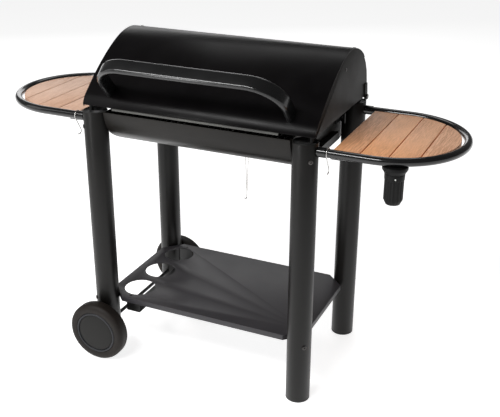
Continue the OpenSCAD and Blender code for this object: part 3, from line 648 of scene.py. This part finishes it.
bpy.ops.mesh.normals_make_consistent(inside=False)
close(bow, "lid", ["handle"], handle_paint)
plugs = []
for side in (-1, 1):
    foot = FOOT + Vector((side * HANDLE_HALF, 0, 0))
    plugs.append(screw_head("head", 0.0065, 0.004, foot - OUT * 0.0026, -OUT))
close(join("handle_screw_set", plugs), "lid", ["handle_plugs"], blackened, crease=25)

# Each side table is framed by one tube bent round at its outer end, painted gloss black.
# A short sleeve joins each end of the tube to its leg.
tube_paint = surface("tube_gloss_paint",
                     {"Coat Weight": 1.0, "Coat Roughness": 0.1, "Specular IOR Level": 0.1},
                     powder((0.006, 0.006, 0.0062), (0.009, 0.009, 0.0092), 0.24, 300, 0.00004))
low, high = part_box("table_tube_right")
SLEEVE_FROM, SLEEVE_TO, SLEEVE_WALL = LEG_X + LEG_RADIUS + 0.001, 0.407, 0.002
TUBE_LEVEL = (low.z + high.z) / 2
TUBE_RADIUS = 0.0125
ROUND_X = high.x - TUBE_RADIUS - LEG_Y
for side, sign in (("left", -1), ("right", 1)):
    tube = begin("circle", f"table_tube_{side}_bent", vertices=32, radius=TUBE_RADIUS,
                 location=(sign * low.x, -LEG_Y, TUBE_LEVEL), rotation=(0, math.pi / 2, 0))
    pull(x=sign * (ROUND_X - low.x))
    bpy.ops.mesh.spin(steps=56, angle=-sign * math.pi, center=(sign * ROUND_X, 0, TUBE_LEVEL),
                      axis=(0, 0, 1))
    pull(x=-sign * (ROUND_X - low.x))
    bpy.ops.mesh.select_all(action="SELECT")
    bpy.ops.mesh.remove_doubles(threshold=1e-5)
    bpy.ops.mesh.normals_make_consistent(inside=False)
    settle()
    parts = [tube]
    for end in (-1, 1):
        sleeve = begin("cylinder", "sleeve", vertices=36, radius=TUBE_RADIUS + SLEEVE_WALL,
                       depth=SLEEVE_TO - SLEEVE_FROM, rotation=(0, math.pi / 2, 0),
                       location=(sign * (SLEEVE_TO + SLEEVE_FROM) / 2, end * LEG_Y, TUBE_LEVEL))
        pick(sleeve, "FACE", lambda at, face: at.x * sign > SLEEVE_TO - 1e-4)
        bpy.ops.mesh.inset(thickness=0.0008)
        bpy.ops.transform.translate(value=(sign * 0.0006, 0, 0))
        settle()
        parts.append(sleeve)
    close(join(f"table_tube_{side}_bent", parts), "cart", [f"table_tube_{side}"],
          tube_paint, crease=40)

# The table tops are boards of oiled hardwood that run front to back, rounded to follow the
# tube. Each board has its own tone and grain, and its edges are eased. Light and shade are
# painted into the wood: each table is darker at its inner front and paler towards the rear
# and the outer end, and the left table's wood is a paler copy for its brighter light.
WOOD_EDGE, BOARD, BOARD_RADIUS = 0.420, 0.079, 0.199


def wood(name, light, middle, dark):
    """Oiled hardwood in three tones, with painted light and shade across each table."""
    def varied(place):
        size = place.math("ABSOLUTE", place.part(0))
        board = place.math("FLOOR", (size - (WOOD_EDGE - 0.002)) / BOARD)
        side = place.part(0).step(-0.1, 0.1)
        seed = board * 3.7 + side * 11.3
        offset = place.node("CombineXYZ", {}, {0: seed * 0.31, 1: seed, 2: seed * 0.17})
        own = place.node("VectorMath", {"operation": "ADD"}, {0: place, 1: offset})
        tone = own.node("TexWhiteNoise", {"noise_dimensions": "1D"}, {"W": seed + 0.37})
        wander = own.stretch((7, 1.6, 7)).grain(1.0, 3)
        wave = own.stretch((55, 2.2, 55)).grain(1.4, 5, 0.62)
        lines = place.math("FRACT", wave * 9 + wander * 5)
        ring = lines.step(0.0, 0.5) * (1 - lines.step(0.6, 1.0))
        fibre = own.stretch((900, 26, 900)).grain(1.0, 3, 0.6)
        pores = own.stretch((1500, 60, 1500)).grain(1.0, 1).step(0.62, 0.72)
        cloud = own.stretch((12, 4, 12)).grain(1.0, 4)
        # Painted light and shade: darker and more orange at the inner front corner, paler towards the
        # rear and the outer end.
        far = (place.part(1) + size * 0.35).step(-0.03, 0.26)
        ground = (cloud * 0.45 + tone * 0.35 + far * 0.4).mix((*middle, 1), (*light, 1))
        grown = (ring * 0.55 * cloud.step(0.2, 0.7)).mix(ground, (*dark, 1))
        streaked = (fibre.step(0.42, 0.72) * 0.3).mix(grown, (*dark, 1))
        colour = (pores * 0.35).mix(streaked, tuple(c * 0.45 for c in dark) + (1,))
        height = fibre * 0.5 + ring * 0.3 - pores * 0.6
        return {"Base Color": colour, "Roughness": 0.50 + fibre * 0.12 - ring * 0.06,
                "Normal": height.bump(0.00016)}
    return surface(name, {"Specular IOR Level": 0.4}, varied)


wood_right = wood("oiled_hardwood_right", (0.98, 0.62, 0.42), (0.86, 0.36, 0.11), (0.36, 0.11, 0.03))
# Painted light: the left table's wood is a paler, less orange copy of the right table's, for the
# brighter light that falls on the left table.
wood_left_painted_lit = wood("oiled_hardwood_left_painted_lit", (0.74, 0.52, 0.40), (0.66, 0.38, 0.24), (0.36, 0.16, 0.08))
for side, sign, paint in (("left", -1, wood_left_painted_lit), ("right", 1, wood_right)):
    for number in range(1, 5):
        low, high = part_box(f"slat_{side}_{number}")
        board = begin("circle", f"board_{side}_{number}", vertices=144, radius=BOARD_RADIUS,
                      fill_type="NGON", location=(sign * ROUND_X, 0, low.z))
        bpy.ops.mesh.bisect(plane_co=(sign * ROUND_X, 0, low.z), plane_no=(-sign, 0, 0),
                            clear_outer=True)
        pick(board, "EDGE", lambda at, edge: abs(at.x - sign * ROUND_X) < 1e-5)
        pull(x=-sign * (ROUND_X - WOOD_EDGE))
        for plane, way in ((low.x, -1), (high.x, 1)):
            bpy.ops.mesh.select_all(action="SELECT")
            bpy.ops.mesh.bisect(plane_co=(plane, 0, low.z), plane_no=(way, 0, 0),
                                clear_outer=True)
        bpy.ops.mesh.select_all(action="SELECT")
        bpy.ops.mesh.remove_doubles(threshold=1e-5)
        bpy.ops.mesh.dissolve_limited(angle_limit=0.001)
        bpy.ops.mesh.select_all(action="SELECT")
        pull(z=high.z - low.z)
        bpy.ops.mesh.select_all(action="SELECT")
        bpy.ops.mesh.normals_make_consistent(inside=False)
        close(board, "cart", [f"slat_{side}_{number}"], paint, edge=0.0013, steps=3,
              corner=40)

# Rails and strips of flat steel carry the boards, coated like the strap. Two screws come up
# through the strips into each board.


def repaint(name, paint):
    """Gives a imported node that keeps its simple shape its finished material."""
    node = frame["nodes"][name]
    node.data.materials.clear()
    node.data.materials.append(paint)


for side in ("left", "right"):
    repaint(f"table_rails_{side}", black_coat)
low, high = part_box("slat_screws")
FIRST_SCREW, SCREW_PITCH, SCREW_ROW, SCREW_SUNK = 0.040, 0.073, 0.110, 0.0022
heads = []
for sign in (-1, 1):
    for number in range(4):
        for row in (-SCREW_ROW, SCREW_ROW):
            place = Vector((sign * (WOOD_EDGE + FIRST_SCREW + SCREW_PITCH * number), row,
                            low.z + SCREW_SUNK))
            heads.append(screw_head("head", 0.0048, 0.0014, place, (0, 0, -1), washer=False))
close(join("board_screw_set", heads), "cart", ["slat_screws"], blackened, crease=25)

# Tool hooks are bent from bright steel wire: a wide arc over the table tube and a small
# hook below, which hangs plumb under the tube.


def drawn_wire(place):
    """The changing part of bright drawn wire: duller patches and fine lines along it."""
    dull = place.grain(80, 3).step(0.4, 0.7)
    return {"Base Color": dull.mix((0.62, 0.61, 0.59, 1), (0.44, 0.43, 0.42, 1)),
            "Roughness": 0.2 + place.grain(300, 2) * 0.12,
            "Normal": place.stretch((1, 1, 6)).grain(1500, 2).bump(0.00003)}


bright_wire = surface("bright_wire", {"Metallic": 1.0}, drawn_wire)
WIRE, TILT, DROP, SMALL = 0.0016, math.radians(30.4), 0.047, 0.010
WIDE = TUBE_RADIUS + WIRE + 0.0003
for side in ("left", "right"):
    hook_x = sum(corner.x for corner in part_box(f"hook_{side}")) / 2
    axis = Vector((hook_x, -LEG_Y, TUBE_LEVEL))
    hook = begin("circle", f"tool_hook_{side}", vertices=12, radius=WIRE, fill_type="NGON",
                 location=axis + Vector((0, -WIDE, 0)))
    bpy.ops.mesh.spin(steps=22, angle=math.radians(195), center=axis, axis=(1, 0, 0))
    pick(hook, "FACE", lambda at, face: (at - axis - Vector((0, -WIDE, 0))).length < 1e-4)
    bpy.ops.mesh.delete(type="ONLY_FACE")
    pick(hook, "EDGE", lambda at, edge: abs(at.z - axis.z) < 1e-5 and at.y < axis.y)
    pull(z=-DROP)
    bpy.ops.mesh.spin(steps=18, angle=math.radians(165), axis=(1, 0, 0),
                      center=axis + Vector((0, -WIDE - SMALL, -DROP)))
    bpy.ops.mesh.edge_face_add()
    bpy.ops.mesh.select_all(action="SELECT")
    bpy.ops.mesh.remove_doubles(threshold=1e-5)
    bpy.ops.mesh.normals_make_consistent(inside=False)
    settle()
    tilt = Matrix.Rotation(TILT, 4, "X")
    hook.matrix_world = Matrix.Translation(axis) @ tilt @ Matrix.Translation(-axis)
    close(hook, f"hook_{side}", [f"hook_{side}"], bright_wire, edge=0.0005,
          crease=50, corner=60)

# The gas control's long fluted grip is moulded plastic and turns on the valve's spindle
# under the right table. A small white dot near its rim is the index.
grip_plastic = surface("grip_plastic", {"Specular IOR Level": 0.15},
                       powder((0.0035, 0.0035, 0.0035), (0.006, 0.006, 0.006), 0.42, 1500, 0.0001))
low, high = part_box("twist_grip")
GRIP_AXIS = (low + high) / 2
GRIP = (high.x - low.x) / 2
FLUTES, FLUTE_DEPTH = 18, 0.0022
grip = begin("cylinder", "fluted_grip", vertices=FLUTES * 6, radius=GRIP, depth=high.z - low.z,
             end_fill_type="NGON", location=GRIP_AXIS)
for level in (low.z + 0.009, low.z + 0.014, high.z - 0.0165, high.z - 0.0185, high.z - 0.003):
    bpy.ops.mesh.select_all(action="SELECT")
    bpy.ops.mesh.bisect(plane_co=(0, 0, level), plane_no=(0, 0, 1))
shape = bmesh.from_edit_mesh(grip.data)
for corner in shape.verts:
    at = grip.matrix_world @ corner.co
    flat = Vector((at.x - GRIP_AXIS.x, at.y - GRIP_AXIS.y))
    angle = math.atan2(flat.y, flat.x)
    if at.z < low.z + 0.001:  # round nose
        radius = GRIP - 0.008
    elif at.z < low.z + 0.010:
        radius = GRIP - 0.004
    elif at.z < high.z - 0.018:  # fluted length
        radius = GRIP - 0.0012 - FLUTE_DEPTH / 2 * (1 - math.cos(FLUTES * angle))
    elif at.z < high.z - 0.004:  # plain collar
        radius = GRIP - 0.0004
    else:
        radius = GRIP
    corner.co.x, corner.co.y = radius * math.cos(angle), radius * math.sin(angle)
bmesh.update_edit_mesh(grip.data)
pick(grip, "FACE", lambda at, face: at.z < low.z + 0.0005)
bpy.ops.mesh.inset(thickness=0.004)
pull(z=0.0015)
bpy.ops.mesh.inset(thickness=0.006)
close(grip, "control_grip", ["twist_grip"], grip_plastic, edge=0.0007, crease=50,
      corner=35)
index_white = surface("index_white", {},
                      powder((0.72, 0.72, 0.70), (0.8, 0.8, 0.78), 0.5, 900, 0.00004))
dot = begin("cylinder", "grip_index_dot", vertices=20, radius=0.0022, depth=0.0012,
            location=GRIP_AXIS + Vector((GRIP * 0.34, -GRIP * 0.94, high.z - GRIP_AXIS.z - 0.010)),
            rotation=(math.pi / 2, 0, 0.35))
close(dot, "control_grip", [], index_white, edge=0.0004)

# The valve's housing is a moulded funnel that hangs on the table tube above the grip. The
# block behind it holds the gas nozzle, which is open at its end and has a six-sided collar.
low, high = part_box("valve_housing")
middle = Vector((GRIP_AXIS.x, GRIP_AXIS.y, 0))
RIM_RADIUS, RIM_DEPTH, BLOCK_SIZE = 0.036, 0.009, (0.044, 0.036, 0.0208)
NOZZLE_LEVEL, NOZZLE_BORE = 0.800, 0.018
housing = begin("cylinder", "valve_housing_funnel", vertices=64, radius=RIM_RADIUS,
                depth=RIM_DEPTH, end_fill_type="NGON",
                location=middle + Vector((0, 0, high.z - RIM_DEPTH / 2)))
pick(housing, "FACE", lambda at, face: at.z < high.z - 0.0085)
depth = RIM_DEPTH
for drop, taper in ((0.003, 0.95), (0.006, 0.88), (0.003, 0.98)):
    pull(z=-drop)
    depth += drop
    bpy.ops.transform.resize(value=(taper, taper, 1),
                             center_override=middle + Vector((0, 0, high.z - depth)))
bpy.ops.mesh.inset(thickness=0.02)
pull(z=-0.05)
settle()
block = begin("cube", "valve_block", size=1, location=middle + Vector((0, 0.032, high.z - 0.0105)))
bpy.ops.transform.resize(value=BLOCK_SIZE)
settle()
spigot = begin("cylinder", "hose_nozzle", vertices=28, radius=0.005, depth=0.024,
               location=middle + Vector((0, 0.062, NOZZLE_LEVEL)), rotation=(math.pi / 2, 0, 0))
pick(spigot, "FACE", lambda at, face: at.y > high.y - 1e-4)
bpy.ops.mesh.inset(thickness=0.002)
pull(y=-NOZZLE_BORE)
settle()
collar = nut("nozzle_nut", 0.009, 0.005, middle + Vector((0, 0.050, NOZZLE_LEVEL)), (0, 1, 0))
close(join("valve_housing_funnel", [housing, block, spigot, collar]), "cart", ["valve_housing"],
      grip_plastic, edge=0.0008, corner=40)

# Two wheels on the axle: a wide moulded tyre with round shoulders, a raised ring and a
# smooth domed disc. All are hard plastic, the tyre browner and the ring bluer.
tyre_plastic = surface("tyre_plastic", {"Specular IOR Level": 0.25},
                       powder((0.0085, 0.0062, 0.0048), (0.014, 0.0102, 0.0080), 0.55, 420, 0.0003))
disc_plastic = surface("disc_plastic", {"Specular IOR Level": 0.25},
                       powder((0.0060, 0.0056, 0.0050), (0.0085, 0.0080, 0.0072), 0.5, 1200, 0.0001))
ring_plastic = surface("ring_plastic", {"Specular IOR Level": 0.3},
                       powder((0.017, 0.018, 0.021), (0.024, 0.025, 0.029), 0.42, 1200, 0.0001))
# Profiles as (radius, along the axle from the middle) in millimetres, the outer side negative
SHOULDER = [(85 + 16 * math.sin(math.radians(15 * i)), -9 - 16 * math.cos(math.radians(15 * i)))
            for i in range(7)]
TYRE = [(65.4, -20), (72.2, -20), (72.6, -23), (74, -24.2), (78, -24.8)] + SHOULDER
RING = [(65.2, -19), (65.2, -23.4), (66.2, -24.7), (68.4, -25.2), (70.6, -24.7), (71.7, -23.4),
        (71.7, -19), (65.2, -19)]
DISC = [(0.01, -25), (15, -24.9), (32, -24.5), (50, -23.7), (61, -22.9), (63.6, -22.2), (64.7, -21),
        (64.8, 23.6), (63.6, 24.6), (56, 24.6), (55, 23.4), (54.6, 5), (53, 4), (26, 4), (24.2, 5),
        (24, 23.6), (23, 24.8), (7, 24.8), (6.1, 24), (6.1, -20), (0.01, -20)]


def turned(name, profile, centre, way):
    """A shape turned about Y from (radius, along) in millimetres; way turns it front or back."""
    ring = begin("plane", name, size=1)
    bpy.ops.mesh.merge(type="CENTER")
    shape = bmesh.from_edit_mesh(ring.data)
    shape.verts.ensure_lookup_table()
    radius, along = profile[0]
    shape.verts[0].co = centre + Vector((radius / 1000, -way * along / 1000, 0))
    bmesh.update_edit_mesh(ring.data)
    bpy.ops.mesh.select_all(action="SELECT")
    for (r0, a0), (r1, a1) in zip(profile, profile[1:]):
        move = (r1 - r0) / 1000, -way * (a1 - a0) / 1000, 0
        bpy.ops.mesh.extrude_vertices_move(TRANSFORM_OT_translate={"value": move})
    bpy.ops.mesh.select_all(action="SELECT")
    bpy.ops.mesh.spin(steps=96, angle=2 * math.pi, center=centre, axis=(0, 1, 0))
    bpy.ops.mesh.select_all(action="SELECT")
    bpy.ops.mesh.remove_doubles(threshold=2e-5)
    bpy.ops.mesh.normals_make_consistent(inside=False)
    bpy.ops.object.mode_set(mode="OBJECT")
    return ring


for side, way in (("front", -1), ("rear", 1)):
    low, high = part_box(f"tyre_{side}")
    centre = (low + high) / 2
    both = TYRE + [(radius, -along) for radius, along in reversed(TYRE)] + [TYRE[0]]
    tyre = turned(f"wheel_tyre_{side}", both, centre, way)
    close(tyre, f"wheel_{side}", [f"tyre_{side}"], tyre_plastic, crease=30)
    ring = turned(f"wheel_ring_{side}", RING, centre, way)
    close(ring, f"wheel_{side}", [], ring_plastic, crease=40)
    disc = turned(f"wheel_disc_{side}", DISC, centre, way)
    close(disc, f"wheel_{side}", [f"disc_{side}"], disc_plastic, crease=30)

# The forked wire under the firebox carries the fat cup. It is two strands from a lug, which
# come together in one small hook.
low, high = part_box("drip_hanger")
lug_low, lug_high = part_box("hanger_lug")
HANG_X, PIN_Z = (lug_low.x + lug_high.x) / 2, lug_low.z + 0.004
CUP_WIRE, SPREAD, JOINED = 0.0015, 0.0055, 0.0012
JOIN_Z, TWIST_Z, TIP_Z, CURL, CURL_Z = 0.036, 0.028, 0.030, 0.008, 0.0095
strands = []
for side in (-1, 1):
    top = Vector((HANG_X + side * SPREAD, 0, PIN_Z))
    strand = begin("circle", "strand", vertices=10, radius=CUP_WIRE,
                   location=top + Vector((0, 0, 0.003)), rotation=(math.pi, 0, 0))
    pull(z=-0.004)
    foot = Vector((HANG_X + side * JOINED, 0, low.z + JOIN_Z))
    for start, stop in ((0, 0.25), (0.25, 0.5), (0.5, 0.8), (0.8, 1.0)):
        pull(*(top.lerp(foot, stop) - top.lerp(foot, start)))
    settle()
    strands.append(strand)
twist = begin("cylinder", "twist", vertices=14, radius=0.0028, depth=0.012,
              location=(HANG_X, 0, low.z + TWIST_Z + 0.006))
for level in range(1, 6):
    bpy.ops.mesh.select_all(action="SELECT")
    bpy.ops.mesh.bisect(plane_co=(0, 0, low.z + TWIST_Z + 0.002 * level), plane_no=(0.5, 0, 1))
settle()
strands.append(twist)
tip = begin("circle", "tip", vertices=10, radius=CUP_WIRE, location=(HANG_X, 0, low.z + TIP_Z),
            rotation=(math.pi, 0, 0))
pull(z=CURL_Z - TIP_Z)
bpy.ops.mesh.spin(steps=14, angle=math.pi, center=(HANG_X, -CURL, low.z + CURL_Z),
                  axis=(1, 0, 0))
bpy.ops.mesh.edge_face_add()
bpy.ops.mesh.select_all(action="SELECT")
bpy.ops.mesh.normals_make_consistent(inside=False)
settle()
strands.append(tip)
close(join("cup_hanger_wire", strands), "cup_hanger", ["drip_hanger"], bright_wire,
      crease=40)

# The parts inside and under the firebox keep their simple shapes: enamelled cast grates,
# steel flame covers and burners, the chromed rack, brackets, pipe and hinge.
grate_enamel = surface("grate_enamel", {"Specular IOR Level": 0.6},
                       powder((0.015, 0.015, 0.015), (0.03, 0.028, 0.027), 0.35, 500, 0.0003))


def heated(place):
    """The changing part of steel that has been hot: brown patches over brushed lines."""
    burnt = place.grain(14, 5).step(0.35, 0.7)
    return {"Base Color": burnt.mix((0.42, 0.40, 0.37, 1), (0.24, 0.20, 0.17, 1)),
            "Roughness": 0.34 + place.grain(40, 3) * 0.2,
            "Normal": place.stretch((1, 30, 1)).grain(200, 2).bump(0.00005)}


def chromed(place):
    """The changing part of bright plating: faint duller patches."""
    dull = place.grain(60, 3).step(0.5, 0.8)
    return {"Base Color": dull.mix((0.7, 0.7, 0.7, 1), (0.55, 0.54, 0.52, 1)),
            "Roughness": 0.12 + place.grain(200, 2) * 0.08}


heated_steel = surface("heated_steel", {"Metallic": 1.0}, heated)
chrome_wire = surface("chrome_wire", {"Metallic": 1.0}, chromed)
KEPT = {"firebox_brackets": black_coat, "grate_ledges": firebox_coat, "grate_left": grate_enamel,
        "grate_right": grate_enamel, "flame_tamers": heated_steel, "burner_front": heated_steel,
        "burner_rear": heated_steel, "gas_manifold": black_coat, "gas_pipe": black_coat,
        "drain_spout": firebox_coat, "hanger_lug": bright_wire, "hinge_brackets": black_coat,
        "hinge_bolts": blackened, "warming_rack": chrome_wire}
for name, paint in KEPT.items():
    repaint(name, paint)
